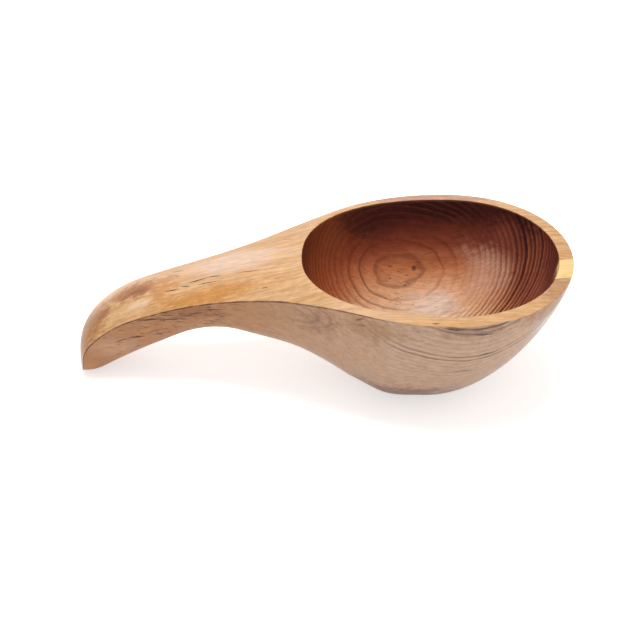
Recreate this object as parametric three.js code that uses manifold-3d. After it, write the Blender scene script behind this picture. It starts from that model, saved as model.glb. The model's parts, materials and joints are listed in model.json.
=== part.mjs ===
// A hand-carved wooden dipper. One block of teak is worked into a deep egg-shaped bowl and a short
// broad handle that curves down like a duck's bill until its tip rests on the table. A small pale
// inlay is let into the rim at the nose.
//
// Millimetres, +Z up. The origin is the middle of the flat foot, on the table. +X points to the
// nose of the bowl and -X along the handle.
import * as THREE from 'three';
import { mergeVertices } from 'three/addons/utils/BufferGeometryUtils.js';
import Module from 'manifold-3d';

// Bowl, seen from above: two half eggs that meet where the mouth is widest
const MOUTH_BACK = 57.8;
const MOUTH_FRONT = 67.5;
const MOUTH_WIDEST_AT = 14.7;
const MOUTH_HALF_WIDTH = 54.9;
const MOUTH_OFFSET = 0.7;
const EGG_FULLNESS = 2.05;
const MOUTH_BACK_FULLNESS = 2.3;
const WALL = 7.1;

// Bowl, seen from the side
const RIM_HEIGHT = 62;
const RIM_FALL = 0.6;
const FLOOR_THICKNESS = 9;
const HOLLOW_DEEPEST_AT = 4;
const HOLLOW_FULLNESS = 2.2;
const HOLLOW_NOSE_FULLNESS = 1.5;
const FOOT_BACK = 31.5;
const FOOT_FRONT = 22;
const FOOT_WIDTH = 51.5;

// Handle: a broad tongue with a crowned top and a rounded underside. The section of the neck is
// square to the handle, so its lowest point lies a little nearer to the bowl than its edges.
const HANDLE_REACH = 168;
const HANDLE_HALF_WIDTH = 19.8;
const HANDLE_CROWN = 3.3;
const NECK_REACH = 97.6;
const NECK_LEAD = 4;

// How square the outside is between the crease and the bottom: 2 is a plain ellipse
const HANDLE_FULLNESS = 3;
const NECK_FULLNESS = 2.4;
const BACK_FULLNESS = 2.2;
const BOWL_FULLNESS = 1.7;
const NOSE_FULLNESS = 1.35;

// How the top face falls from its middle to the crease: 2 is a plain arch, 1 a plain slope
const HANDLE_TOP_FULLNESS = 2;
const RIM_TOP_FULLNESS = 1.3;

// The crease between the top face and the outside, from the handle's tip to where it meets the egg.
// Each row holds shares of the reach, of the handle's half width, of the flare from handle to bowl
// and of the fall from the rim's outer edge to the table.
const CREASE_SHARES = [
  [1, 0, 0, 1],
  [0.9995, 0.4, 0, 0.993],
  [0.9935, 0.72, 0, 0.974],
  [0.989, 0.89, 0, 0.935],
  [0.9865, 0.97, 0, 0.87],
  [0.9865, 1, 0, 0.796],
  [0.9715, 1, 0, 0.707],
  [0.9274, 1, 0, 0.585],
  [0.8726, 1, 0, 0.482],
  [0.7792, 1, 0.01, 0.375],
  [0.6774, 1, 0.036, 0.285],
  [0.5774, 1, 0.1, 0.21],
  [0.4863, 1, 0.199, 0.147],
  [0.3982, 1, 0.334, 0.088],
  [0.3131, 1, 0.502, 0.044],
  [0.228, 1, 0.673, 0.01],
];

// The lowest line under the handle, from its tip to the back of the foot: each row holds a share of
// the way from the foot to the tip and a share of the rim's height.
const KEEL_SHARES = [
  [1, 0],
  [0.96, 0.015],
  [0.853, 0.105],
  [0.71, 0.256],
  [0.566, 0.405],
  [0.456, 0.438],
  [0.339, 0.373],
  [0.206, 0.274],
  [0.1, 0.15],
  [0.035, 0.06],
  [0, 0],
];

// Inlay across the rim
const INLAY_WIDTH = 15.8;
const INLAY_DEPTH = 4;
const INLAY_ASIDE = 9.3;
const INLAY_TURN_DEGREES = 18;
const GLUE_GAP = 0.3;
const CUT_OVERRUN = 6;

// Rows of points across the piece, in steps from the handle's tip: to where the handle meets the
// neck, to where the mouth and the foot begin, to the middle of the bowl's back, to its flank,
// where the foot is widest, and to the nose
const NECK_STEPS = 26;
const MOUTH_STEPS = 36;
const FOOT_STEPS = 40;
const BACK_STEPS = 45;
const FLANK_STEPS = 53;
const NOSE_STEPS = 76;
const TOP_STEPS = 4;
const SIDE_STEPS = 10;
const HOLLOW_STEPS = 12;
const EGG_STEPS = 24;
const FLANK_DEGREES = 100;

// How finely a curve is measured, and how often a search along it halves its range
const CURVE_DIVISIONS = 3000;
const HALVING_STEPS = 40;

const outerHalfWidth = MOUTH_HALF_WIDTH + WALL;
const creaseHeight = RIM_HEIGHT - RIM_FALL;
const { lerp, smoothstep, degToRad } = THREE.MathUtils;

// A point on the egg's +Y half, grown outwards by a margin: angle 0 is the nose and PI the back,
// which may be squarer than the rest
function eggPoint(angle, margin, backFullness) {
  const cosine = Math.cos(angle);
  const ahead = cosine > 0;
  const power = 2 / (ahead ? EGG_FULLNESS : backFullness);
  const reach = ahead ? MOUTH_FRONT - MOUTH_WIDEST_AT : MOUTH_BACK + MOUTH_WIDEST_AT;
  const along = Math.sign(cosine) * (reach + margin) * Math.abs(cosine) ** power;
  const out = (MOUTH_HALF_WIDTH + margin) * Math.abs(Math.sin(angle)) ** power;
  return new THREE.Vector2(MOUTH_WIDEST_AT + along, out);
}

// Values for every row, smooth and never reversing, through marks of [row, value]
function paced(marks) {
  const slopes = marks.slice(1).map(([row, value], i) => (value - marks[i][1]) / (row - marks[i][0]));
  const tangents = marks.map((mark, i) => {
    const before = slopes[Math.max(i - 1, 0)];
    const after = slopes[Math.min(i, slopes.length - 1)];
    return 2 * before * after / (before + after);
  });
  const values = [];
  slopes.forEach((slope, i) => {
    const [start, from] = marks[i];
    const [end, to] = marks[i + 1];
    for (let row = start; row < end; row++) {
      const t = (row - start) / (end - start);
      const swing = (1 - t) * tangents[i] - t * tangents[i + 1];
      values[row] = from + (to - from) * t * t * (3 - 2 * t) + t * (1 - t) * (end - start) * swing;
    }
    values[end] = to;
  });
  return values;
}

// Values for every row that ease from one mark of [row, value] to the next
function eased(marks) {
  const values = [];
  for (let i = 0; i + 1 < marks.length; i++) {
    const [start, from] = marks[i];
    const [end, to] = marks[i + 1];
    for (let row = start; row <= end; row++) values[row] = lerp(from, to, smoothstep(row, start, end));
  }
  return values;
}

// The share of a curve, between 0 and a limit, at which its x reaches a value
function shareAtX(curve, x, limit) {
  let low = 0;
  let high = limit;
  for (let i = 0; i < HALVING_STEPS; i++) {
    const middle = (low + high) / 2;
    if (curve.getPointAt(middle).x < x) low = middle;
    else high = middle;
  }
  return low;
}

// The crease runs round both sides as one closed curve, so it is smooth at the tip and the nose
function creaseCurve() {
  const side = CREASE_SHARES.map(([along, width, flare, fall]) => new THREE.Vector3(
    -HANDLE_REACH * along,
    HANDLE_HALF_WIDTH * width + (outerHalfWidth - HANDLE_HALF_WIDTH) * flare,
    creaseHeight * (1 - fall),
  ));
  const joinX = side[side.length - 1].x;
  for (let i = EGG_STEPS; i >= 0; i--) {
    const { x, y } = eggPoint(Math.PI * i / EGG_STEPS, WALL, EGG_FULLNESS);
    if (x > joinX + WALL) side.push(new THREE.Vector3(x, y, creaseHeight));
  }
  const farSide = side.slice(1, -1).reverse().map((p) => new THREE.Vector3(p.x, -p.y, p.z));
  const curve = new THREE.CatmullRomCurve3([...side, ...farSide], true, 'centripetal');
  curve.arcLengthDivisions = CURVE_DIVISIONS;
  return curve;
}

function keelCurve() {
  const points = KEEL_SHARES.map(([along, height]) => new THREE.Vector3(
    -lerp(FOOT_BACK, HANDLE_REACH, along),
    0,
    RIM_HEIGHT * height,
  ));
  points.push(new THREE.Vector3(0, 0, 0));
  const curve = new THREE.CatmullRomCurve3(points, false, 'centripetal');
  curve.arcLengthDivisions = CURVE_DIVISIONS;
  return curve;
}

const crease = creaseCurve();
const keel = keelCurve();
const atNeck = shareAtX(crease, -NECK_REACH, 0.5);
const creaseShares = paced([
  [0, 0],
  [NECK_STEPS, atNeck],
  [MOUTH_STEPS, shareAtX(crease, -MOUTH_BACK - WALL, 0.5)],
  [NOSE_STEPS, 0.5],
]);
const centreShares = paced([
  [0, 0],
  [NECK_STEPS, atNeck],
  [MOUTH_STEPS, shareAtX(crease, -MOUTH_BACK, 0.5)],
]);
const keelShares = paced([
  [0, 0],
  [NECK_STEPS, shareAtX(keel, NECK_LEAD - NECK_REACH, 1)],
  [FOOT_STEPS, shareAtX(keel, -FOOT_BACK, 1)],
]);
const flankAngle = degToRad(FLANK_DEGREES);
const mouthAngles = paced([[MOUTH_STEPS, Math.PI], [FLANK_STEPS, flankAngle], [NOSE_STEPS, 0]]);
const footShares = paced([[FOOT_STEPS, -1], [FLANK_STEPS, 0], [NOSE_STEPS, 1]]);

const outsideFullness = eased([
  [0, HANDLE_FULLNESS],
  [NECK_STEPS, HANDLE_FULLNESS],
  [MOUTH_STEPS, NECK_FULLNESS],
  [BACK_STEPS, BACK_FULLNESS],
  [FLANK_STEPS, BOWL_FULLNESS],
  [NOSE_STEPS, NOSE_FULLNESS],
]);
const hollowFullness = eased([
  [MOUTH_STEPS, HOLLOW_FULLNESS],
  [FLANK_STEPS, HOLLOW_FULLNESS],
  [NOSE_STEPS, HOLLOW_NOSE_FULLNESS],
]);

// The top face's middle line at a share of the crease: it stands above the crease by the crown,
// square to the handle
function crownPoint(share) {
  const edge = crease.getPointAt(share);
  const way = crease.getTangentAt(share);
  const level = Math.hypot(way.x, way.z);
  const rise = HANDLE_CROWN * edge.y / HANDLE_HALF_WIDTH;
  return new THREE.Vector3(edge.x - rise * way.z / level, 0, edge.z + rise * way.x / level);
}

const mouthBack = new THREE.Vector3(-MOUTH_BACK, 0, RIM_HEIGHT);
const mouthError = mouthBack.clone().sub(crownPoint(centreShares[MOUTH_STEPS]));

// The inner edge of the top face: the handle's middle line, then the mouth
function innerPoint(row, side) {
  if (row === 0) return crease.getPointAt(0);
  if (row < MOUTH_STEPS) {
    const settle = smoothstep(row, NECK_STEPS, MOUTH_STEPS);
    return crownPoint(centreShares[row]).addScaledVector(mouthError, settle);
  }
  const { x, y } = eggPoint(mouthAngles[row], 0, MOUTH_BACK_FULLNESS);
  return new THREE.Vector3(x, side * y + MOUTH_OFFSET * y / MOUTH_HALF_WIDTH, RIM_HEIGHT);
}

function creasePoint(row, side) {
  const point = crease.getPointAt(creaseShares[row]);
  point.y = row === 0 || row === NOSE_STEPS ? 0 : point.y * side;
  return point;
}

// The lower edge of the outside: the keel under the handle, then the edge of the foot
function lowerPoint(row, side) {
  if (row < FOOT_STEPS) return keel.getPointAt(keelShares[row]);
  const share = footShares[row];
  const angle = Math.PI / 2 * share;
  const x = share < 0 ? FOOT_BACK * share : FOOT_FRONT * Math.sin(angle);
  return new THREE.Vector3(x, side * Math.cos(angle) * FOOT_WIDTH / 2, 0);
}

// One row of points: across the top face to the crease, then round the outside to the lower edge
function rowPoints(row, side) {
  const inner = innerPoint(row, side);
  const edge = creasePoint(row, side);
  const lower = lowerPoint(row, side);
  const along = 1 - smoothstep(row, FOOT_STEPS, FLANK_STEPS);
  const arch = lerp(HANDLE_TOP_FULLNESS, RIM_TOP_FULLNESS, smoothstep(row, NECK_STEPS, FLANK_STEPS));
  const power = 2 / outsideFullness[row];
  const points = [];
  for (let step = 0; step < TOP_STEPS; step++) {
    const t = step / TOP_STEPS;
    const fall = t ** arch;
    points.push(new THREE.Vector3(
      lerp(inner.x, edge.x, lerp(t, fall, along)),
      lerp(inner.y, edge.y, t),
      lerp(inner.z, edge.z, fall),
    ));
  }
  for (let step = 0; step <= SIDE_STEPS; step++) {
    const angle = Math.PI / 2 * step / SIDE_STEPS;
    const inward = 1 - Math.abs(Math.cos(angle)) ** power;
    const down = Math.sin(angle) ** power;
    points.push(new THREE.Vector3(
      lerp(edge.x, lower.x, lerp(inward, down, along)),
      lerp(edge.y, lower.y, inward),
      lerp(edge.z, lower.z, down),
    ));
  }
  return points;
}

// One row of points in the hollow, from its deepest point up to the mouth
function hollowPoints(row, side) {
  const power = 2 / hollowFullness[row];
  const rim = innerPoint(row, side);
  const points = [];
  for (let step = 0; step <= HOLLOW_STEPS; step++) {
    const angle = Math.PI / 2 * step / HOLLOW_STEPS;
    const out = Math.sin(angle) ** power;
    const up = 1 - Math.abs(Math.cos(angle)) ** power;
    points.push(new THREE.Vector3(
      lerp(HOLLOW_DEEPEST_AT, rim.x, out),
      rim.y * out,
      lerp(FLOOR_THICKNESS, RIM_HEIGHT, up),
    ));
  }
  return points;
}

// Adds the triangles between neighbouring rows, facing out on either side
function skin(triangles, rows, side) {
  for (let i = 0; i + 1 < rows.length; i++) {
    for (let k = 0; k + 1 < rows[i].length; k++) {
      const [a, b, c, d] = [rows[i][k], rows[i + 1][k], rows[i + 1][k + 1], rows[i][k + 1]];
      if (side > 0) triangles.push(a, b, c, a, c, d);
      else triangles.push(a, c, b, a, d, c);
    }
  }
}

function carvedBlock() {
  const triangles = [];
  const footMiddle = new THREE.Vector3(0, 0, 0);
  const rows = Array.from({ length: NOSE_STEPS + 1 }, (_, row) => row);
  for (const side of [1, -1]) {
    skin(triangles, rows.map((row) => rowPoints(row, side)), side);
    skin(triangles, rows.slice(MOUTH_STEPS).map((row) => hollowPoints(row, side)), side);
    skin(triangles, rows.slice(FOOT_STEPS).map((row) => [lowerPoint(row, side), footMiddle]), side);
  }
  return new THREE.BufferGeometry().setFromPoints(triangles);
}

const wasm = await Module();
wasm.setup();

// A closed geometry as a solid that can be cut, without the triangles that have shrunk to a line
function toSolid(geometry) {
  const bare = geometry.clone();
  bare.deleteAttribute('normal');
  bare.deleteAttribute('uv');
  const merged = mergeVertices(bare);
  const index = merged.index.array;
  const kept = [];
  for (let i = 0; i < index.length; i += 3) {
    const [a, b, c] = index.slice(i, i + 3);
    if (a !== b && b !== c && c !== a) kept.push(a, b, c);
  }
  return new wasm.Manifold(new wasm.Mesh({
    numProp: 3,
    vertProperties: merged.attributes.position.array,
    triVerts: new Uint32Array(kept),
  }));
}

function toGeometry(manifold) {
  const mesh = manifold.getMesh();
  const geometry = new THREE.BufferGeometry();
  geometry.setAttribute('position', new THREE.BufferAttribute(mesh.vertProperties, 3));
  geometry.setIndex(new THREE.BufferAttribute(mesh.triVerts, 1));
  geometry.computeVertexNormals();
  return geometry;
}

// The block that cuts the inlay out of the rim, or its pocket when it is grown by the glue gap
function inlayBlock(gap) {
  const angle = Math.asin((INLAY_ASIDE / (MOUTH_HALF_WIDTH + WALL / 2)) ** (EGG_FULLNESS / 2));
  const centreX = eggPoint(angle, WALL / 2, EGG_FULLNESS).x;
  const height = INLAY_DEPTH + gap + CUT_OVERRUN;
  const block = new THREE.BoxGeometry(WALL + 2 * CUT_OVERRUN, INLAY_WIDTH + 2 * gap, height);
  block.rotateZ(degToRad(INLAY_TURN_DEGREES));
  block.translate(centreX, -INLAY_ASIDE, RIM_HEIGHT + CUT_OVERRUN - height / 2);
  return block;
}

const whole = toSolid(carvedBlock());
const body = whole.subtract(toSolid(inlayBlock(GLUE_GAP)));
const inlay = whole.intersect(toSolid(inlayBlock(0)));

const teak = new THREE.MeshStandardMaterial({ color: 0xc08a5c, roughness: 0.45, metalness: 0 });
const paleWood = new THREE.MeshStandardMaterial({ color: 0xf6dc9c, roughness: 0.5, metalness: 0 });

const dipper = new THREE.Group();
const bodyMesh = new THREE.Mesh(toGeometry(body), teak);
bodyMesh.name = 'dipper_body';
const inlayMesh = new THREE.Mesh(toGeometry(inlay), paleWood);
inlayMesh.name = 'rim_inlay';
dipper.add(bodyMesh, inlayMesh);

export default dipper;
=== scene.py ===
import json
import math

import bpy
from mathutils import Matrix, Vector

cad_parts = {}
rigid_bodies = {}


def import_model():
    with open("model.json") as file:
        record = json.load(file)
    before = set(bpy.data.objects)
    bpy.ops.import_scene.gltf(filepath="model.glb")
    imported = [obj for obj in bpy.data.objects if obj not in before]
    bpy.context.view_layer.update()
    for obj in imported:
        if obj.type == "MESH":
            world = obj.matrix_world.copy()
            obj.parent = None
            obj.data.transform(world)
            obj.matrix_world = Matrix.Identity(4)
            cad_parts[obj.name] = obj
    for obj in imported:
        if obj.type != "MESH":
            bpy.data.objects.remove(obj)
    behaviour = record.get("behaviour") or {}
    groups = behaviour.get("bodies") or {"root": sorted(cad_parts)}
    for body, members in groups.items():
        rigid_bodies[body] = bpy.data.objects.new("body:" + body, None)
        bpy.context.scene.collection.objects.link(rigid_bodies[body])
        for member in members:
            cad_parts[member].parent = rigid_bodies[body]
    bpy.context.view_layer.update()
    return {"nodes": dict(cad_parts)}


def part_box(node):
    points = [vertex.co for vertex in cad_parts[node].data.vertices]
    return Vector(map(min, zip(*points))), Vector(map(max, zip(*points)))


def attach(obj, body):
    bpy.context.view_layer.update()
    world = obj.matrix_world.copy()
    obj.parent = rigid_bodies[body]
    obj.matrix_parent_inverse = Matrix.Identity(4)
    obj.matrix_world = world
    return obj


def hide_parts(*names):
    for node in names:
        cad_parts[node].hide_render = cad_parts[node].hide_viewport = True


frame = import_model()

# The view: a long lens from the right hand side of someone who holds the handle, looking down by a
# third of a right angle, so that the bowl's dark hollow and the near side both show.
FRAME_PIXELS = 640
FOCAL_PIXELS = 2127
camera_data = bpy.data.cameras.new("camera")
camera_data.sensor_width = 36
camera_data.lens = camera_data.sensor_width * FOCAL_PIXELS / FRAME_PIXELS
camera = bpy.data.objects.new("camera", camera_data)
bpy.context.scene.collection.objects.link(camera)
camera.location = (-0.0266, -0.8867, 0.6001)
looks_at = Vector((-0.0474, -0.0584, 0.062))
camera.rotation_euler = (looks_at - camera.location).to_track_quat("-Z", "Y").to_euler()
bpy.context.scene.camera = camera
bpy.context.scene.view_settings.view_transform = "Standard"


def srgb(text, alpha=1.0):
    """A hex colour, as a picture shows it, turned to the linear values that a socket takes."""
    parts = [int(text[i:i + 2], 16) / 255 for i in (1, 3, 5)]
    linear = [p / 12.92 if p <= 0.04045 else ((p + 0.055) / 1.055) ** 2.4 for p in parts]
    return (*linear, alpha)


def add(tree, kind, inputs=None, **settings):
    """Adds a node with its settings, and gives each named input a value or a link."""
    made = tree.nodes.new(kind)
    for name, value in settings.items():
        setattr(made, name, value)
    for name, value in (inputs or {}).items():
        if isinstance(value, bpy.types.NodeSocket):
            tree.links.new(value, made.inputs[name])
        else:
            made.inputs[name].default_value = value
    return made


# The studio: white paper under the dipper and a white backdrop beyond it, which the oiled wood
# mirrors. The backdrop is lower than the room and stops short of its left wall, and the room behind
# the camera is dim, so that gloss shows only where it should. Two soft boxes light the dipper.
ROOM_LEVEL = 0.5
BEHIND_CAMERA_LEVEL = 0.25
ABOVE_BACKDROP_LEVEL = 0.4
LEFT_OF_BACKDROP_LEVEL = 0.3
world = bpy.data.worlds.new("white backdrop and dim room")
bpy.context.scene.world = world
world.use_nodes = True
room = world.node_tree
room.nodes.clear()
seen = add(room, "ShaderNodeLightPath")
plain_white = add(room, "ShaderNodeMath", {
    0: seen.outputs["Is Camera Ray"],
    1: seen.outputs["Is Transmission Ray"],
}, operation="MAXIMUM")
looks_to = add(room, "ShaderNodeTexCoord")
sides = add(room, "ShaderNodeSeparateXYZ", {"Vector": looks_to.outputs["Generated"]})
beyond = add(room, "ShaderNodeMapRange", {
    "Value": sides.outputs["Y"],
    "From Min": -0.3,
    "From Max": 0.4,
    "To Min": BEHIND_CAMERA_LEVEL,
    "To Max": 1.0,
}, interpolation_type="SMOOTHSTEP")
below_top = add(room, "ShaderNodeMapRange", {
    "Value": sides.outputs["Z"],
    "From Min": 0.55,
    "From Max": 0.35,
    "To Min": ABOVE_BACKDROP_LEVEL,
    "To Max": 1.0,
}, interpolation_type="SMOOTHSTEP")
from_left = add(room, "ShaderNodeMapRange", {
    "Value": sides.outputs["X"],
    "From Min": -0.8,
    "From Max": -0.4,
    "To Min": LEFT_OF_BACKDROP_LEVEL,
    "To Max": 1.0,
}, interpolation_type="SMOOTHSTEP")
backdrop_shape = add(room, "ShaderNodeMath", {
    0: below_top.outputs[0],
    1: from_left.outputs[0],
}, operation="MULTIPLY")
mirrored = add(room, "ShaderNodeMath", {
    0: beyond.outputs[0],
    1: backdrop_shape.outputs[0],
}, operation="MULTIPLY")
room_level = add(room, "ShaderNodeMix", {
    0: seen.outputs["Is Glossy Ray"],
    2: ROOM_LEVEL,
    3: mirrored.outputs[0],
}, data_type="FLOAT")
white_level = add(room, "ShaderNodeMix", {
    0: plain_white.outputs[0],
    2: room_level.outputs[0],
    3: 1.0,
}, data_type="FLOAT")
walls = add(room, "ShaderNodeBackground", {
    "Color": srgb("#ffffff"),
    "Strength": white_level.outputs[0],
})
add(room, "ShaderNodeOutputWorld", {"Surface": walls.outputs[0]})


def lamp(name, place, aim, size, power):
    """Hangs a soft box at a place, turned to what it aims at."""
    data = bpy.data.lights.new(name, "AREA")
    data.shape = "RECTANGLE"
    data.size, data.size_y = size
    data.energy = power
    made = bpy.data.objects.new(name, data)
    bpy.context.scene.collection.objects.link(made)
    made.location = place
    made.rotation_euler = (Vector(aim) - Vector(place)).to_track_quat("-Z", "Y").to_euler()


lamp("soft box behind", (-0.45, 0.85, 0.6), (-0.02, 0, 0.04), (0.8, 0.5), 1.5)
lamp("soft box above", (-0.06, 0.06, 1.05), (0, 0, 0.03), (0.42, 0.36), 6.5)

# The paper glows a little to the camera and in reflections, so that it ends in the backdrop's
# white, and it keeps the dipper's soft shadow.
PAPER_SIZE = 6
PAPER_DROP = 0.0002
PAPER_GLOW = 0.6
bpy.ops.mesh.primitive_plane_add(size=PAPER_SIZE, location=(0, 0, -PAPER_DROP))
sweep = bpy.context.object
sweep.name = "paper_sweep"
paper = bpy.data.materials.new("white sweep paper")
paper.use_nodes = True
sheet = paper.node_tree
sheet.nodes.clear()
paper_seen = add(sheet, "ShaderNodeLightPath")
paper_shown = add(sheet, "ShaderNodeMath", {
    0: paper_seen.outputs["Is Camera Ray"],
    1: paper_seen.outputs["Is Glossy Ray"],
}, operation="MAXIMUM")
paper_clear = add(sheet, "ShaderNodeMath", {
    0: paper_shown.outputs[0],
    1: paper_seen.outputs["Is Transmission Ray"],
}, operation="MAXIMUM")
paper_matt = add(sheet, "ShaderNodeBsdfDiffuse", {"Color": srgb("#f6f6f6")})
paper_glow = add(sheet, "ShaderNodeEmission", {"Color": srgb("#ffffff"), "Strength": PAPER_GLOW})
paper_both = add(sheet, "ShaderNodeAddShader", {0: paper_matt.outputs[0], 1: paper_glow.outputs[0]})
paper_mix = add(sheet, "ShaderNodeMixShader", {
    0: paper_clear.outputs[0],
    1: paper_matt.outputs[0],
    2: paper_both.outputs[0],
})
add(sheet, "ShaderNodeOutputMaterial", {"Surface": paper_mix.outputs[0]})
sweep.data.materials.append(paper)

# The dipper: one block of teak, carved with gouges, scraped and sanded, then oiled. The top face
# meets the outside and the hollow in edges that sandpaper eased by about half a millimetre.
EASED_EDGE = 0.0005
SHARP_ANGLE = math.radians(38)
SMOOTH_ANGLE = math.radians(40)
MERGE_DISTANCE = 0.00001
dipper = bpy.data.objects.new("carved_dipper", frame["nodes"]["dipper_body"].data.copy())
bpy.context.scene.collection.objects.link(dipper)


def merge_and_mark(piece):
    """Merges the loose triangles of a copied solid, and marks and selects its sharp edges."""
    bpy.ops.object.select_all(action="DESELECT")
    piece.select_set(True)
    bpy.context.view_layer.objects.active = piece
    bpy.ops.object.mode_set(mode="EDIT")
    bpy.ops.mesh.select_mode(type="EDGE")
    bpy.ops.mesh.select_all(action="SELECT")
    bpy.ops.mesh.remove_doubles(threshold=MERGE_DISTANCE)
    bpy.ops.mesh.tris_convert_to_quads()
    bpy.ops.mesh.select_all(action="DESELECT")
    bpy.ops.mesh.edges_select_sharp(sharpness=SHARP_ANGLE)
    bpy.ops.mesh.mark_sharp()
    bpy.ops.object.mode_set(mode="OBJECT")


def ease_edges(piece, stays_sharp):
    """Rounds the edges that are marked sharp, but for those that stay, which subdivision keeps."""
    mesh = piece.data
    for part in (*mesh.vertices, *mesh.edges, *mesh.polygons):
        part.select = False
    creases = mesh.attributes.new("crease_edge", "FLOAT", "EDGE")
    for edge in mesh.edges:
        ends = [mesh.vertices[i].co for i in edge.vertices]
        if edge.use_edge_sharp and stays_sharp(*ends):
            creases.data[edge.index].value = 1.0
        elif edge.use_edge_sharp:
            edge.select = True
            for i in edge.vertices:
                mesh.vertices[i].select = True
    bpy.ops.object.mode_set(mode="EDIT")
    bpy.ops.mesh.mark_sharp(clear=True)
    bpy.ops.mesh.bevel(offset=EASED_EDGE, segments=2, affect="EDGES", clamp_overlap=True)
    bpy.ops.object.mode_set(mode="OBJECT")


# The hollow and the top are found from a face of each, out to the sharp edges; the rest is outside.
merge_and_mark(dipper)
OUTSIDE, HOLLOW, TOP = 0, 1, 2
HOLLOW_DEEPEST = (0.004, 0, 0.009)
HANDLE_TOP = (-0.1, 0.0035, 0.0514)
for surface, seed in ((HOLLOW, HOLLOW_DEEPEST), (TOP, HANDLE_TOP)):
    faces = dipper.data.polygons
    for part in (*dipper.data.vertices, *dipper.data.edges, *faces):
        part.select = False
    nearest = min(faces, key=lambda face: (face.center - Vector(seed)).length)
    nearest.select = True
    bpy.ops.object.mode_set(mode="EDIT")
    bpy.ops.mesh.select_mode(type="FACE")
    bpy.ops.mesh.select_linked(delimit={"SHARP"})
    bpy.ops.object.mode_set(mode="OBJECT")
    for face in dipper.data.polygons:
        if face.select:
            face.material_index = surface
bpy.ops.object.mode_set(mode="EDIT")
bpy.ops.mesh.select_mode(type="EDGE")
bpy.ops.object.mode_set(mode="OBJECT")

NOTCH_SPARE = 0.0004
inlay_low, inlay_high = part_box("rim_inlay")


def near_inlay(point):
    """Whether a point lies on the notch that holds the inlay."""
    return all(
        low - NOTCH_SPARE < value < high + NOTCH_SPARE
        for low, value, high in zip(inlay_low, point, inlay_high)
    )


ease_edges(dipper, lambda a, b: near_inlay(a) and near_inlay(b))

# The skins differ: the hollow drank most oil and went dark red, and its colour also carries painted
# shade that darkens it up its wall; the top is golden, and the outside stayed paler and greyer. A dark
# line runs along the edge between the top and the outside along the handle, on the middle row of the
# eased edge.
surfaces = [[] for vertex in dipper.data.vertices]
for face in dipper.data.polygons:
    for i in face.vertices:
        surfaces[i].append(face.material_index)
    face.material_index = 0
skins = {
    name: dipper.data.attributes.new(name, "FLOAT", "POINT")
    for name in ("hollow", "outside", "dark_crease_edge")
}
for vertex, around in zip(dipper.data.vertices, surfaces):
    skins["hollow"].data[vertex.index].value = around.count(HOLLOW) / len(around)
    skins["outside"].data[vertex.index].value = around.count(OUTSIDE) / len(around)
    if OUTSIDE in around and TOP in around:
        skins["dark_crease_edge"].data[vertex.index].value = 1

rounding = dipper.modifiers.new("rounding", "SUBSURF")
rounding.levels = 2
rounding.render_levels = 2
bpy.ops.object.modifier_apply(modifier="rounding")
bpy.ops.object.shade_smooth_by_angle(angle=SMOOTH_ANGLE)

# Oiled teak: straight-grained brown wood with dark growth rings and open pores. Gouging and sanding
# cut through the rings, so they show as ovals in the hollow, and the oil gives a satin gloss. All
# patterns are in millimetres, and the board's length runs along the handle, which is X.
MM = 0.001
teak = bpy.data.materials.new("oiled teak")
teak.use_nodes = True
wood = teak.node_tree
wood.nodes.clear()
place = add(wood, "ShaderNodeTexCoord")
in_mm = add(wood, "ShaderNodeMapping", {
    "Vector": place.outputs["Object"],
    "Scale": (MM, MM, MM),
}, vector_type="TEXTURE").outputs[0]
where = add(wood, "ShaderNodeSeparateXYZ", {"Vector": in_mm})
hollow = add(wood, "ShaderNodeAttribute", attribute_name="hollow").outputs["Fac"]
outside = add(wood, "ShaderNodeAttribute", attribute_name="outside").outputs["Fac"]
dark_crease_edge = add(wood, "ShaderNodeAttribute", attribute_name="dark_crease_edge").outputs["Fac"]


def cloudy(point, size, detail, roughness=0.5):
    """Noise whose clouds are so many millimetres long, wide and high."""
    spread = add(wood, "ShaderNodeMapping", {
        "Vector": point,
        "Scale": [1 / length for length in size],
    })
    return add(wood, "ShaderNodeTexNoise", {
        "Vector": spread.outputs[0],
        "Scale": 1,
        "Detail": detail,
        "Roughness": roughness,
    }).outputs[0]


# Fibres lie under a millimetre apart, and bands of them make long streaks. Pores are a few
# millimetres long and are drawn wider than real ones, so that they show.
fibre = cloudy(in_mm, (26, 0.8, 2.4), 3)
streak = cloudy(in_mm, (80, 1.6, 8), 4)
patch = cloudy(in_mm, (36, 18, 18), 6, 0.6)
mottle = cloudy(in_mm, (5, 2.5, 2.5), 4, 0.65)
pores = add(wood, "ShaderNodeMapRange", {
    "Value": cloudy(in_mm, (4, 0.6, 1), 1),
    "From Min": 0.65,
    "From Max": 0.71,
}).outputs[0]

# Growth rings are cylinders round the tree's heart, which lay far beyond the far side and below.
# The distance from the heart sways slowly and trembles a little over a few millimetres.
FIRST_RING = 386.95
RING_SPACING = 2.2
WIDE_SPACING = 3.0
WIDE_FROM, WIDE_TO = 24, 66
HEART_PLACE = (0, 302, -282)
HEART_TURN = (0, math.radians(36), math.radians(-23))
SWAY = 0.8
TREMBLE = 0.6
PACE_SWING = 0.25
from_heart = add(wood, "ShaderNodeMapping", {
    "Vector": in_mm,
    "Location": HEART_PLACE,
    "Rotation": HEART_TURN,
}, vector_type="TEXTURE").outputs[0]
across = add(wood, "ShaderNodeVectorMath", {0: from_heart, 1: (0, 1, 1)}, operation="MULTIPLY")
heart_distance = add(wood, "ShaderNodeVectorMath", {0: across.outputs[0]}, operation="LENGTH")
trembling = cloudy(in_mm, (12, 6, 6), 3)
sway = add(wood, "ShaderNodeMapRange", {
    "Value": cloudy(in_mm, (50, 30, 30), 1),
    "To Min": -SWAY,
    "To Max": SWAY,
})
tremble = add(wood, "ShaderNodeMapRange", {
    "Value": trembling,
    "To Min": -TREMBLE,
    "To Max": TREMBLE,
})
swayed = add(wood, "ShaderNodeMath", {
    0: heart_distance.outputs["Value"],
    1: sway.outputs[0],
}, operation="ADD")
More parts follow.
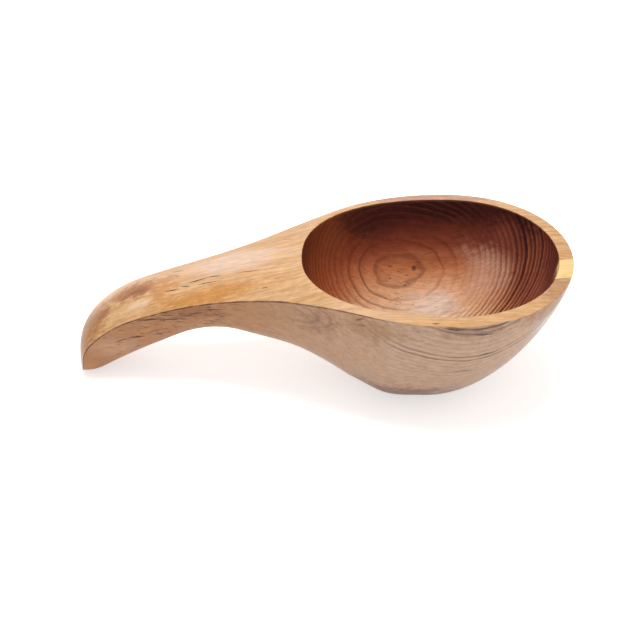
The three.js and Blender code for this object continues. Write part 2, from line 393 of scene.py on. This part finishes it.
ring_radius = add(wood, "ShaderNodeMath", {
    0: swayed.outputs[0],
    1: tremble.outputs[0],
}, operation="ADD").outputs[0]

# The years are counted outwards from the first ring in the hollow. The tree grew faster for some
# of them, and no two years are quite the same.
from_first = add(wood, "ShaderNodeMath", {0: ring_radius, 1: FIRST_RING}, operation="SUBTRACT")
even_years = add(wood, "ShaderNodeMath", {
    0: from_first.outputs[0],
    1: RING_SPACING,
}, operation="DIVIDE")
lost_years = add(wood, "ShaderNodeMapRange", {
    "Value": from_first.outputs[0],
    "From Min": WIDE_FROM,
    "From Max": WIDE_TO,
    "To Max": (WIDE_TO - WIDE_FROM) * (1 / RING_SPACING - 1 / WIDE_SPACING),
})
years = add(wood, "ShaderNodeMath", {
    0: even_years.outputs[0],
    1: lost_years.outputs[0],
}, operation="SUBTRACT")
pace = add(wood, "ShaderNodeTexNoise", {
    "W": years.outputs[0],
    "Scale": 0.5,
    "Detail": 1,
}, noise_dimensions="1D")
pace_swing = add(wood, "ShaderNodeMapRange", {
    "Value": pace.outputs[0],
    "To Min": -PACE_SWING,
    "To Max": PACE_SWING,
})
uneven = add(wood, "ShaderNodeMath", {0: years.outputs[0], 1: pace_swing.outputs[0]}, operation="ADD")
year_share = add(wood, "ShaderNodeMath", {0: uneven.outputs[0]}, operation="FRACT").outputs[0]
year_number = add(wood, "ShaderNodeMath", {0: uneven.outputs[0]}, operation="FLOOR")
year_luck = add(wood, "ShaderNodeTexWhiteNoise", {"W": year_number.outputs[0]}, noise_dimensions="1D")

# Each year's wood darkens outwards and ends in a sharp line. The marks are shares of a year. The
# line is thin on the floor of the hollow, whose cut grazes the rings, and wide up its wall. A Mix
# node takes its amount at 0, two numbers at 2 and 3, and two colours at 6 and 7.
WALL_FROM, WALL_TO = 405, 424
FLOOR_FROM, FLOOR_TO = 397, 389
FLOOR_SHADE_START = 0.84
FLOOR_LINE_START = 0.85
up_wall = add(wood, "ShaderNodeMapRange", {
    "Value": ring_radius,
    "From Min": WALL_FROM,
    "From Max": WALL_TO,
    "To Max": hollow,
}).outputs[0]
on_floor = add(wood, "ShaderNodeMapRange", {
    "Value": ring_radius,
    "From Min": FLOOR_FROM,
    "From Max": FLOOR_TO,
    "To Max": hollow,
}).outputs[0]
wall_shade = add(wood, "ShaderNodeMapRange", {"Value": up_wall, "To Min": 0.3, "To Max": -0.1})
wall_line = add(wood, "ShaderNodeMapRange", {"Value": up_wall, "To Min": 0.55, "To Max": 0.2})
shade_start = add(wood, "ShaderNodeMix", {
    0: on_floor,
    2: wall_shade.outputs[0],
    3: FLOOR_SHADE_START,
}, data_type="FLOAT")
line_start = add(wood, "ShaderNodeMix", {
    0: on_floor,
    2: wall_line.outputs[0],
    3: FLOOR_LINE_START,
}, data_type="FLOAT")
line_full = add(wood, "ShaderNodeMapRange", {"Value": up_wall, "To Min": 0.88, "To Max": 0.6})
shading, sharp_line = [
    add(wood, "ShaderNodeMapRange", {
        "Value": year_share,
        "From Min": start.outputs[0],
        "From Max": line_full.outputs[0],
        "To Max": 0.5,
    }, interpolation_type="SMOOTHSTEP")
    for start in (shade_start, line_start)
]
both_lines = add(wood, "ShaderNodeMath", {
    0: shading.outputs[0],
    1: sharp_line.outputs[0],
}, operation="ADD")
year_end = add(wood, "ShaderNodeMapRange", {"Value": year_share, "From Min": 1.0, "From Max": 0.93})
line_shape = add(wood, "ShaderNodeMath", {
    0: both_lines.outputs[0],
    1: year_end.outputs[0],
}, operation="MULTIPLY")
line_luck = add(wood, "ShaderNodeMapRange", {
    "Value": year_luck.outputs["Value"],
    "To Min": 0.65,
    "To Max": 1.0,
})
line_mask = add(wood, "ShaderNodeMath", {
    0: line_shape.outputs[0],
    1: line_luck.outputs[0],
}, operation="MULTIPLY").outputs[0]


def stops(ramp, marks):
    """Sets a colour ramp's marks of (place, colour)."""
    elements = ramp.color_ramp.elements
    while len(elements) > 1:
        elements.remove(elements[-1])
    elements[0].position = marks[0][0]
    elements[0].color = srgb(marks[0][1])
    for position, colour in marks[1:]:
        elements.new(position).color = srgb(colour)
    return ramp.outputs["Color"]


# Ground colours of the three skins: the top goes by its streaks, the outside pales towards the nose,
# and the hollow darkens up its wall, which is painted shade, and stays warmer near the handle.
PATCHES_ALONG, PATCHES_UP = 70, 9
SIDE_DARKEST, SIDE_PALEST = -95, 25
WALL_PALEST, WALL_DARKEST = 18, 58
WARM_FROM, WARM_FULL = -22, -45
golden = stops(add(wood, "ShaderNodeValToRGB", {"Fac": streak}), [
    (0.25, "#e1b88d"), (0.45, "#dbac7b"), (0.6, "#d39f68"), (0.78, "#c99056"),
])
along_side = add(wood, "ShaderNodeMath", {
    0: patch,
    1: PATCHES_ALONG,
    2: where.outputs["X"],
}, operation="MULTIPLY_ADD")
side_tone = add(wood, "ShaderNodeMapRange", {
    "Value": along_side.outputs[0],
    "From Min": SIDE_DARKEST,
    "From Max": SIDE_PALEST,
})
greyish = stops(add(wood, "ShaderNodeValToRGB", {"Fac": side_tone.outputs[0]}), [
    (0.0, "#c58c62"), (0.35, "#c29068"), (0.7, "#cc9f7c"), (1.0, "#d8b296"),
])
# Painted shade: the hollow's colour darkens with height up its wall, towards the rim.
up_the_wall = add(wood, "ShaderNodeMath", {
    0: patch,
    1: PATCHES_UP,
    2: where.outputs["Z"],
}, operation="MULTIPLY_ADD")
wall_height = add(wood, "ShaderNodeMapRange", {
    "Value": up_the_wall.outputs[0],
    "From Min": WALL_PALEST,
    "From Max": WALL_DARKEST,
})
reddish = stops(add(wood, "ShaderNodeValToRGB", {"Fac": wall_height.outputs[0]}), [
    (0.0, "#f2c6a0"), (0.2, "#e4a97c"), (0.38, "#c97b4d"), (0.6, "#94482f"), (1.0, "#4c1f22"),
])
near_handle = add(wood, "ShaderNodeMapRange", {
    "Value": where.outputs["X"],
    "From Min": WARM_FROM,
    "From Max": WARM_FULL,
    "To Max": 0.7,
})
hollow_ground = add(wood, "ShaderNodeMix", {
    0: near_handle.outputs[0],
    6: reddish,
    7: srgb("#a8552e"),
}, data_type="RGBA").outputs[2]


def from_middle(point, centre, size, turn=(0, 0, 0)):
    """How far a point lies from the middle of an ellipsoid, whose surface is at 1."""
    in_ellipsoid = add(wood, "ShaderNodeMapping", {
        "Vector": point,
        "Location": centre,
        "Rotation": turn,
        "Scale": [length / 2 for length in size],
    }, vector_type="TEXTURE")
    distance = add(wood, "ShaderNodeVectorMath", {0: in_ellipsoid.outputs[0]}, operation="LENGTH")
    return distance.outputs["Value"]


# Clouds of colour, as ellipsoids with ragged soft edges: the skin that shows the cloud, its place and
# size in millimetres, colour and strength. Most are the wood's own tone; those marked below paint
# highlights, sheen, a reflection and shade. Later ones lie over earlier ones. The patches and mottles
# together add about RAGGEDNESS to the distance from the middle. Where that sum falls below CLOUD_STARTS
# a cloud begins to show, and below CLOUD_FULL it shows in full.
CLOUDS = (
    # A pale patch on the right of the floor: paler wood, with painted sheen over it.
    ("hollow", (36, 34, 30), (40, 44, 36), "#d8a488", 0.75),
    # A painted highlight, whitish, on the floor of the hollow.
    ("hollow", (10, 28, 15), (50, 24, 14), "#dabba8", 0.75),
    # Dark clouds near the far rim: the wood's own darker tone, with painted shade under the rim.
    ("hollow", (-28, 46, 55), (36, 24, 26), "#3f1a1c", 0.7),
    ("hollow", (16, 56, 59), (64, 20, 20), "#37121a", 0.8),
    ("hollow", (47, 42, 50), (34, 34, 26), "#985040", 0.85),
    ("hollow", (-42, 34, 48), (20, 20, 24), "#94502f", 0.6),
    ("hollow", (60, 14, 46), (36, 80, 46), "#a65a3d", 0.9),
    ("hollow", (66, -2, 52), (16, 66, 34), "#78382a", 0.8),
    ("outside", (-120, -20, 43), (70, 20, 14), "#a56e4a", 0.65),
    ("outside", (-150, -19, 18), (34, 16, 16), "#d8a986", 0.75),
    ("outside", (-46, -38, 50), (34, 20, 24), "#ab7f62", 0.6),
    # Painted shade: the underside of the bowl, browner and darker towards the paper.
    ("outside", (-6, -46, 10), (60, 30, 14), "#b08069", 0.6),
    ("outside", (-8, -40, 6), (84, 44, 26), "#96664a", 0.9),
    # A painted reflection: the right flank paler and whiter, as if it mirrored the white room.
    ("outside", (60, -32, 40), (30, 44, 40), "#e6d3c8", 0.9),
    ("outside", (56, -38, 59), (50, 40, 14), "#c0906a", 0.8),
    ("outside", (24, -60, 58), (50, 16, 11), "#9c735e", 0.6),
    ("outside", (-20, -54, 54), (50, 20, 16), "#b98d66", 0.6),
    ("top", (-140, 2, 38), (44, 22, 26), "#a8662c", 1.0),
    ("top", (-137, 0, 40), (24, 9, 14), "#8a4a1e", 0.7),
    ("top", (-156, -5, 29), (16, 12, 18), "#9c5c2a", 0.9),
    ("top", (-164, -6, 16), (26, 44, 44), "#b0763f", 1.0),
    # A painted highlight on the top near the tip of the handle.
    ("top", (-137, -10, 39), (20, 9, 14), "#ebcba6", 0.7),
    ("top", (-126, -3, 43), (24, 30, 20), "#cb8c4e", 0.9),
    ("top", (-104, -17, 48), (100, 14, 34), "#cf8e48", 0.9),
    ("top", (-100, 22, 52), (110, 10, 34), "#cc9558", 0.6),
    # A painted sheen: a pale pink band along the middle of the handle's top.
    ("top", (-94, 6, 53), (76, 24, 26), "#e6c4ac", 0.8),
    ("top", (66, -28, 62), (22, 44, 12), "#b98c64", 0.8),
    ("top", (-34, -50, 61), (60, 24, 12), "#e2b892", 0.7),
    ("top", (0, 60, 62), (120, 24, 16), "#c0917a", 0.9),
)
RAGGEDNESS = 1.3
CLOUD_STARTS, CLOUD_FULL = 2.4, 1.6
grounds = {"hollow": hollow_ground, "outside": greyish, "top": golden}
for skin, centre, size, colour, strength in CLOUDS:
    wavy_edge = add(wood, "ShaderNodeMath", {
        0: patch,
        1: RAGGEDNESS,
        2: from_middle(in_mm, centre, size),
    }, operation="MULTIPLY_ADD")
    ragged_edge = add(wood, "ShaderNodeMath", {
        0: mottle,
        1: RAGGEDNESS,
        2: wavy_edge.outputs[0],
    }, operation="MULTIPLY_ADD")
    shown = add(wood, "ShaderNodeMapRange", {
        "Value": ragged_edge.outputs[0],
        "From Min": CLOUD_STARTS,
        "From Max": CLOUD_FULL,
        "To Max": strength,
    }, interpolation_type="SMOOTHSTEP")
    grounds[skin] = add(wood, "ShaderNodeMix", {
        0: shown.outputs[0],
        6: grounds[skin],
        7: srgb(colour),
    }, data_type="RGBA").outputs[2]
plain_ground = add(wood, "ShaderNodeMix", {
    0: outside,
    6: grounds["top"],
    7: grounds["outside"],
}, data_type="RGBA").outputs[2]
ground = add(wood, "ShaderNodeMix", {
    0: hollow,
    6: plain_ground,
    7: grounds["hollow"],
}, data_type="RGBA").outputs[2]

# The rings' colours on the three skins, and how strong they are in each: faint on the top but for
# the nose, patchy on the outside and fainter along the handle, and strong in the hollow.
HANDLE_FAINT, BOWL_FULL = -60, -15
NOSE_FROM, NOSE_FULL = 42, 60
plain_line = add(wood, "ShaderNodeMix", {
    0: outside,
    6: srgb("#b97c46"),
    7: srgb("#80563f"),
}, data_type="RGBA").outputs[2]
hollow_line = add(wood, "ShaderNodeMix", {
    0: up_wall,
    6: srgb("#743420"),
    7: srgb("#301118"),
}, data_type="RGBA").outputs[2]
line_colour = add(wood, "ShaderNodeMix", {
    0: hollow,
    6: plain_line,
    7: hollow_line,
}, data_type="RGBA").outputs[2]
patchy = add(wood, "ShaderNodeMapRange", {
    "Value": patch,
    "From Min": 0.4,
    "From Max": 0.65,
    "To Min": 0.05,
    "To Max": 0.4,
})
off_handle = add(wood, "ShaderNodeMapRange", {
    "Value": where.outputs["X"],
    "From Min": HANDLE_FAINT,
    "From Max": BOWL_FULL,
    "To Min": 0.35,
})
side_strength = add(wood, "ShaderNodeMath", {
    0: patchy.outputs[0],
    1: off_handle.outputs[0],
}, operation="MULTIPLY")
top_strength = add(wood, "ShaderNodeMapRange", {
    "Value": where.outputs["X"],
    "From Min": NOSE_FROM,
    "From Max": NOSE_FULL,
    "To Min": 0.08,
    "To Max": 0.45,
})
plain_strength = add(wood, "ShaderNodeMix", {
    0: outside,
    2: top_strength.outputs[0],
    3: side_strength.outputs[0],
}, data_type="FLOAT")
wall_strength = add(wood, "ShaderNodeMapRange", {"Value": up_wall, "To Min": 0.65, "To Max": 0.88})
line_strength = add(wood, "ShaderNodeMix", {
    0: hollow,
    2: plain_strength.outputs[0],
    3: wall_strength.outputs[0],
}, data_type="FLOAT")
line_amount = add(wood, "ShaderNodeMath", {
    0: line_mask,
    1: line_strength.outputs[0],
}, operation="MULTIPLY").outputs[0]

# The rings fade under the painted highlight and sheen on the pale part of the floor, in two ellipsoids:
# place and size in millimetres.
SHEEN_ELLIPSOIDS = (((26, 37, 25), (40, 32, 34)), ((10, 28, 15), (52, 20, 16)))
LEFT_UNDER_SHEEN = 0.3
for centre, size in SHEEN_ELLIPSOIDS:
    left = add(wood, "ShaderNodeMapRange", {
        "Value": from_middle(in_mm, centre, size),
        "From Min": 0.5,
        "From Max": 1.3,
        "To Min": LEFT_UNDER_SHEEN,
    }, interpolation_type="SMOOTHSTEP")
    line_amount = add(wood, "ShaderNodeMath", {
        0: line_amount,
        1: left.outputs[0],
    }, operation="MULTIPLY").outputs[0]
ringed = add(wood, "ShaderNodeMix", {
    0: line_amount,
    6: ground,
    7: line_colour,
}, data_type="RGBA").outputs[2]


def strongest(amounts):
    """The largest of several amounts."""
    most = amounts[0]
    for amount in amounts[1:]:
        most = add(wood, "ShaderNodeMath", {0: most, 1: amount}, operation="MAXIMUM").outputs[0]
    return most


def lines_at(distance, lines):
    """Lines where a distance has certain values: each has its value, half width and strength."""
    amounts = []
    for middle, half_width, strength in lines:
        off = add(wood, "ShaderNodeMath", {0: distance, 1: middle}, operation="SUBTRACT")
        off_size = add(wood, "ShaderNodeMath", {0: off.outputs[0]}, operation="ABSOLUTE")
        amounts.append(add(wood, "ShaderNodeMapRange", {
            "Value": off_size.outputs[0],
            "From Min": half_width,
            "From Max": 0.0,
            "To Max": strength,
        }).outputs[0])
    return strongest(amounts)


# Four dark lines bow across the near side of the bowl, where a few years' wood is stained. They
# begin where the neck ends, and have gaps.
STAINED_YEARS = ((478.7, 0.5, 0.9), (480.9, 0.5, 0.7), (492.6, 0.45, 0.6), (494.4, 0.6, 0.9))
STAINS_BEGIN, STAINS_FULL = -35, 0
past_neck = add(wood, "ShaderNodeMapRange", {
    "Value": where.outputs["X"],
    "From Min": STAINS_BEGIN,
    "From Max": STAINS_FULL,
})
stain_skin = add(wood, "ShaderNodeMath", {0: past_neck.outputs[0], 1: outside}, operation="MULTIPLY")
stain_gaps = add(wood, "ShaderNodeMapRange", {
    "Value": trembling,
    "From Min": 0.35,
    "From Max": 0.55,
    "To Min": 0.5,
    "To Max": 1.0,
})
stain_shown = add(wood, "ShaderNodeMath", {
    0: stain_skin.outputs[0],
    1: stain_gaps.outputs[0],
}, operation="MULTIPLY")
stain_amount = add(wood, "ShaderNodeMath", {
    0: lines_at(ring_radius, STAINED_YEARS),
    1: stain_shown.outputs[0],
}, operation="MULTIPLY")
stained = add(wood, "ShaderNodeMix", {
    0: stain_amount.outputs[0],
    6: ringed,
    7: srgb("#54342f"),
}, data_type="RGBA").outputs[2]

# Faint arcs on the near side of the neck, where the cut grazes a bend in the grain. They are the
# right ends of flat ellipses, which the mottles make uneven.
BEND_MIDDLE = (-62, -40, 52)
BEND_FLATNESS = (1, 20, 0.45)
BEND_LEFT, BEND_RIGHT = -62, -56
BEND_FAR, BEND_NEAR = -20, -30
ARCS = ((7.5, 1.6, 0.35), (15, 1.8, 0.4), (21.5, 1.5, 0.4), (24.4, 1.2, 0.3))
in_bend = add(wood, "ShaderNodeMapping", {
    "Vector": in_mm,
    "Location": BEND_MIDDLE,
    "Scale": BEND_FLATNESS,
}, vector_type="TEXTURE")
bend_distance = add(wood, "ShaderNodeVectorMath", {0: in_bend.outputs[0]}, operation="LENGTH")
uneven_bend = add(wood, "ShaderNodeMath", {
    0: mottle,
    1: 4.0,
    2: bend_distance.outputs["Value"],
}, operation="MULTIPLY_ADD")
bend_right = add(wood, "ShaderNodeMapRange", {
    "Value": where.outputs["X"],
    "From Min": BEND_LEFT,
    "From Max": BEND_RIGHT,
})
bend_near = add(wood, "ShaderNodeMapRange", {
    "Value": where.outputs["Y"],
    "From Min": BEND_FAR,
    "From Max": BEND_NEAR,
})
bend_skin = add(wood, "ShaderNodeMath", {0: bend_right.outputs[0], 1: outside}, operation="MULTIPLY")
bend_shown = add(wood, "ShaderNodeMath", {
    0: bend_skin.outputs[0],
    1: bend_near.outputs[0],
}, operation="MULTIPLY")
arc_amount = add(wood, "ShaderNodeMath", {
    0: lines_at(uneven_bend.outputs[0], ARCS),
    1: bend_shown.outputs[0],
}, operation="MULTIPLY")
arced = add(wood, "ShaderNodeMix", {
    0: arc_amount.outputs[0],
    6: stained,
    7: srgb("#7c5242"),
}, data_type="RGBA").outputs[2]

# Fibres and mottles lighten and darken the wood. The outside was sanded finer, so its fibres show
# less. Pores hold dark oil, most of all in the hollow.
FIBRES_LOST_OUTSIDE = 0.6
fibre_tone, mottle_tone = [
    add(wood, "ShaderNodeMapRange", {
        "Value": noise,
        "From Min": 0.3,
        "From Max": 0.7,
        "To Min": 0.86,
        "To Max": 1.11,
    })
    for noise in (fibre, mottle)
]
fibres_lost = add(wood, "ShaderNodeMath", {0: outside, 1: FIBRES_LOST_OUTSIDE}, operation="MULTIPLY")
soft_fibre = add(wood, "ShaderNodeMix", {
    0: fibres_lost.outputs[0],
    2: fibre_tone.outputs[0],
    3: 1.0,
}, data_type="FLOAT")
both_tones = add(wood, "ShaderNodeMath", {
    0: soft_fibre.outputs[0],
    1: mottle_tone.outputs[0],
}, operation="MULTIPLY")
fibred = add(wood, "ShaderNodeMix", {
    0: 1.0,
    6: arced,
    7: both_tones.outputs[0],
}, data_type="RGBA", blend_type="MULTIPLY").outputs[2]
pore_depth = add(wood, "ShaderNodeMix", {0: hollow, 2: 0.25, 3: 0.45}, data_type="FLOAT")
pore_amount = add(wood, "ShaderNodeMath", {0: pores, 1: pore_depth.outputs[0]}, operation="MULTIPLY")
pored = add(wood, "ShaderNodeMix", {
    0: pore_amount.outputs[0],
    6: fibred,
    7: line_colour,
}, data_type="RGBA").outputs[2]

# Checks, small knots and chips are thin ellipsoids with a ragged edge. Nearly all follow the
# photograph: points were picked in three enlargements of it, and the camera's ray through a point meets
# the wood where the flaw lies. An enlargement is its left and top edges and the side of its own pixel,
# all in pixels of the photograph.
HANDLE_ENLARGED = (70, 225, 260 / 1500)
BOWL_ENLARGED = (290, 295, 295 / 1500)
HOLLOW_ENLARGED = (295, 190, 290 / 1560)
body = frame["nodes"]["dipper_body"]


def on_wood(enlarged, pick):
    """Where a point that was picked in an enlargement lies on the dipper, in millimetres."""
    left, top, pixel = enlarged
    aside = (left + pick[0] * pixel - FRAME_PIXELS / 2) / FOCAL_PIXELS
    above = (FRAME_PIXELS / 2 - top - pick[1] * pixel) / FOCAL_PIXELS
    ray = camera.rotation_euler.to_matrix() @ Vector((aside, above, -1))
    point = body.ray_cast(camera.location, ray)[1]
    return point / MM


# Each long check: enlargement, left end, right end, size in millimetres, heading in degrees and
# strength. How steeply it rises follows from its ends.
LONG_CHECKS = (
    (HANDLE_ENLARGED, (552, 384), (620, 372), (9, 1.1, 8), -8, 0.9),
    (HANDLE_ENLARGED, (640, 352), (690, 356), (6, 1.2, 8), -20, 0.8),
    (HANDLE_ENLARGED, (690, 333), (780, 306), (12, 1.1, 8), 4, 1.0),
    (HANDLE_ENLARGED, (780, 300), (880, 293), (11, 0.9, 8), -12, 0.8),
    (HANDLE_ENLARGED, (730, 345), (870, 320), (15, 0.8, 8), -6, 0.8),
    (HANDLE_ENLARGED, (970, 273), (1100, 260), (14, 0.8, 6), -6, 0.8),
    (HANDLE_ENLARGED, (600, 268), (660, 265), (7, 1.0, 6), -20, 0.7),
    (HANDLE_ENLARGED, (600, 290), (630, 300), (5, 1.0, 6), -40, 0.6),
    (HANDLE_ENLARGED, (380, 553), (520, 540), (14, 8, 1.0), 0, 0.9),
    (HANDLE_ENLARGED, (510, 545), (640, 543), (13, 8, 0.9), 0, 0.8),
    (HANDLE_ENLARGED, (520, 522), (600, 522), (8, 8, 0.8), 0, 0.7),
    (HANDLE_ENLARGED, (690, 515), (760, 505), (8, 8, 0.9), 0, 0.8),
    (HANDLE_ENLARGED, (760, 490), (880, 488), (12, 8, 0.8), 0, 0.7),
    (HANDLE_ENLARGED, (265, 672), (330, 655), (7, 8, 0.9), 0, 0.7),
    (HANDLE_ENLARGED, (340, 650), (430, 640), (9, 8, 1.2), 0, 0.9),
    (HANDLE_ENLARGED, (450, 625), (520, 600), (8, 8, 0.7), 0, 0.6),
    (BOWL_ENLARGED, (820, 392), (930, 378), (12, 8, 0.8), 0, 0.8),
    (BOWL_ENLARGED, (960, 305), (1050, 288), (11, 8, 0.8), 0, 0.8),
    (BOWL_ENLARGED, (930, 203), (1040, 197), (12, 8, 1.0), 14, 0.8),
    (BOWL_ENLARGED, (780, 170), (870, 182), (10, 8, 1.1), 0, 0.8),
    (BOWL_ENLARGED, (345, 150), (385, 160), (5, 8, 1.4), -25, 0.5),
)
# Small knots and a chip: enlargement, middle, size in millimetres and strength.
KNOTS = (
    (HOLLOW_ENLARGED, (510, 410), (2.2, 3, 0.9), 0.55),
    (HOLLOW_ENLARGED, (510, 475), (2.2, 3, 0.9), 0.5),
    (HOLLOW_ENLARGED, (495, 490), (2.0, 3, 0.7), 0.4),
    (HOLLOW_ENLARGED, (600, 460), (3.0, 3, 0.7), 0.5),
    (HOLLOW_ENLARGED, (590, 512), (2.2, 3, 0.8), 0.6),
    (HOLLOW_ENLARGED, (565, 500), (2.0, 3, 0.6), 0.25),
    (HOLLOW_ENLARGED, (640, 420), (3.4, 4, 3.4), 0.75),
    (HOLLOW_ENLARGED, (760, 720), (4, 1.2, 2), 0.8),
)
# Three short checks: place and size in millimetres, heading and rise in degrees, and strength.
SHORT_CHECKS = (
    ((-65, 20, 59), (9, 1.0, 6), -20, 8, 0.5),
    ((-75, -21, 56), (4, 1.2, 6), 0, 14, 0.7),
    ((-29, -52, 58.6), (6, 8, 1.6), -25, 30, 0.6),
)
RAGGED_GRAIN = 0.6
ragged_noise = add(wood, "ShaderNodeTexNoise", {"Vector": in_mm, "Scale": RAGGED_GRAIN, "Detail": 2})
ragged_centred = add(wood, "ShaderNodeVectorMath", {
    0: ragged_noise.outputs["Color"],
    1: (0.5, 0.5, 0.5),
}, operation="SUBTRACT")
ragged = add(wood, "ShaderNodeVectorMath", {
    0: ragged_centred.outputs[0],
    1: in_mm,
}, operation="ADD").outputs[0]
placed = list(SHORT_CHECKS)
for enlarged, middle, size, strength in KNOTS:
    placed.append((on_wood(enlarged, middle), size, 0, 0, strength))
for enlarged, left_end, right_end, size, heading, strength in LONG_CHECKS:
    first, last = on_wood(enlarged, left_end), on_wood(enlarged, right_end)
    rise = math.degrees(math.asin((last - first).normalized().z))
    placed.append(((first + last) / 2, size, heading, rise, strength))
flaws = []
for centre, size, heading, rise, strength in placed:
    turn = (0, math.radians(-rise), math.radians(heading))
    flaws.append(add(wood, "ShaderNodeMapRange", {
        "Value": from_middle(ragged, centre, size, turn),
        "From Min": 1.1,
        "From Max": 0.4,
        "To Max": strength,
    }).outputs[0])

# Many short fine checks pit both sides of the handle, behind its tip.
PITTED_FROM, PITTED_FULL = -78, -100
TIP_CLEAR, TIP_PITTED = -156, -144
FINE_CHECK = (5, 6, 0.8)
fine_checks = add(wood, "ShaderNodeMapRange", {
    "Value": cloudy(ragged, FINE_CHECK, 2),
    "From Min": 0.6,
    "From Max": 0.68,
    "To Max": 0.7,
})
on_handle = add(wood, "ShaderNodeMapRange", {
    "Value": where.outputs["X"],
    "From Min": PITTED_FROM,
    "From Max": PITTED_FULL,
})
behind_tip = add(wood, "ShaderNodeMapRange", {
    "Value": where.outputs["X"],
    "From Min": TIP_CLEAR,
    "From Max": TIP_PITTED,
})
pitted_zone = add(wood, "ShaderNodeMath", {
    0: on_handle.outputs[0],
    1: behind_tip.outputs[0],
}, operation="MULTIPLY")
pitted_skin = add(wood, "ShaderNodeMath", {0: pitted_zone.outputs[0], 1: outside}, operation="MULTIPLY")
pits = add(wood, "ShaderNodeMath", {
    0: fine_checks.outputs[0],
    1: pitted_skin.outputs[0],
}, operation="MULTIPLY")
all_flaws = strongest([*flaws, pits.outputs[0]])
flawed = add(wood, "ShaderNodeMix", {
    0: all_flaws,
    6: pored,
    7: srgb("#341a14"),
}, data_type="RGBA").outputs[2]

# A dark line follows the crease between the top and the outside, from the tip to the bowl's flank,
# darker and fainter in turns.
CREASE_GRAIN = 0.25
CREASE_ENDS, CREASE_FULL = 0, -30
crease_noise = add(wood, "ShaderNodeTexNoise", {"Vector": in_mm, "Scale": CREASE_GRAIN, "Detail": 3})
crease_gaps = add(wood, "ShaderNodeMapRange", {
    "Value": crease_noise.outputs[0],
    "From Min": 0.35,
    "From Max": 0.6,
    "To Min": 0.5,
    "To Max": 1.0,
})
crease_core = add(wood, "ShaderNodeMapRange", {
    "Value": dark_crease_edge,
    "From Min": 0.2,
    "From Max": 0.6,
})
crease_fade = add(wood, "ShaderNodeMapRange", {
    "Value": where.outputs["X"],
    "From Min": CREASE_ENDS,
    "From Max": CREASE_FULL,
})
crease_darkening = add(wood, "ShaderNodeMath", {
    0: crease_core.outputs[0],
    1: crease_fade.outputs[0],
}, operation="MULTIPLY")
crease_amount = add(wood, "ShaderNodeMath", {
    0: crease_darkening.outputs[0],
    1: crease_gaps.outputs[0],
}, operation="MULTIPLY")
lined = add(wood, "ShaderNodeMix", {
    0: crease_amount.outputs[0],
    6: flawed,
    7: srgb("#5e3024"),
}, data_type="RGBA").outputs[2]

# Fibres stand up a little, and pores and flaws lie deeper. The fibres that stand up most are the
# least glossy.
RELIEF = 0.0002
fibre_relief = add(wood, "ShaderNodeMath", {0: pores, 1: -1.0, 2: fibre}, operation="MULTIPLY_ADD")
relief = add(wood, "ShaderNodeMath", {
    0: all_flaws,
    1: -2.0,
    2: fibre_relief.outputs[0],
}, operation="MULTIPLY_ADD")
bump = add(wood, "ShaderNodeBump", {
    "Height": relief.outputs[0],
    "Strength": 0.3,
    "Distance": RELIEF,
})
satin = add(wood, "ShaderNodeMapRange", {"Value": fibre, "To Min": 0.26, "To Max": 0.44})
finish = add(wood, "ShaderNodeBsdfPrincipled", {
    "Base Color": lined,
    "Roughness": satin.outputs[0],
    "Normal": bump.outputs[0],
    "IOR": 1.45,
    "Specular IOR Level": 0.3,
})
add(wood, "ShaderNodeOutputMaterial", {"Surface": finish.outputs[0]})
dipper.data.materials.clear()
dipper.data.materials.append(teak)
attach(dipper, "root")
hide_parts("dipper_body")

# The inlay: a small slip of pale wood, glued into a notch across the rim and sanded flush with it.
# Its edges are crisp against the glue line.
inlay = bpy.data.objects.new("pale_inlay", frame["nodes"]["rim_inlay"].data.copy())
bpy.context.scene.collection.objects.link(inlay)
merge_and_mark(inlay)
bpy.ops.object.shade_smooth_by_angle(angle=math.radians(30))

# Pale maple, sanded and oiled: a fine straight grain in cream and straw, along the slip, with
# little gloss.
SLIP_GRAIN = (MM * 12, MM * 0.9, MM * 0.9)
SLIP_TURN = math.radians(18)
pale = bpy.data.materials.new("oiled pale maple")
pale.use_nodes = True
slip = pale.node_tree
slip.nodes.clear()
slip_place = add(slip, "ShaderNodeTexCoord")
slip_map = add(slip, "ShaderNodeMapping", {
    "Vector": slip_place.outputs["Object"],
    "Rotation": (0, 0, SLIP_TURN),
    "Scale": SLIP_GRAIN,
}, vector_type="TEXTURE")
slip_grain = add(slip, "ShaderNodeTexNoise", {"Vector": slip_map.outputs[0], "Scale": 1, "Detail": 3})
slip_colour = stops(add(slip, "ShaderNodeValToRGB", {"Fac": slip_grain.outputs[0]}), [
    (0.3, "#f4d394"), (0.6, "#eec986"), (0.75, "#ddb26c"),
])
slip_finish = add(slip, "ShaderNodeBsdfPrincipled", {
    "Base Color": slip_colour,
    "Roughness": 0.45,
    "IOR": 1.5,
})
add(slip, "ShaderNodeOutputMaterial", {"Surface": slip_finish.outputs[0]})
inlay.data.materials.clear()
inlay.data.materials.append(pale)
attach(inlay, "root")
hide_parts("rim_inlay")
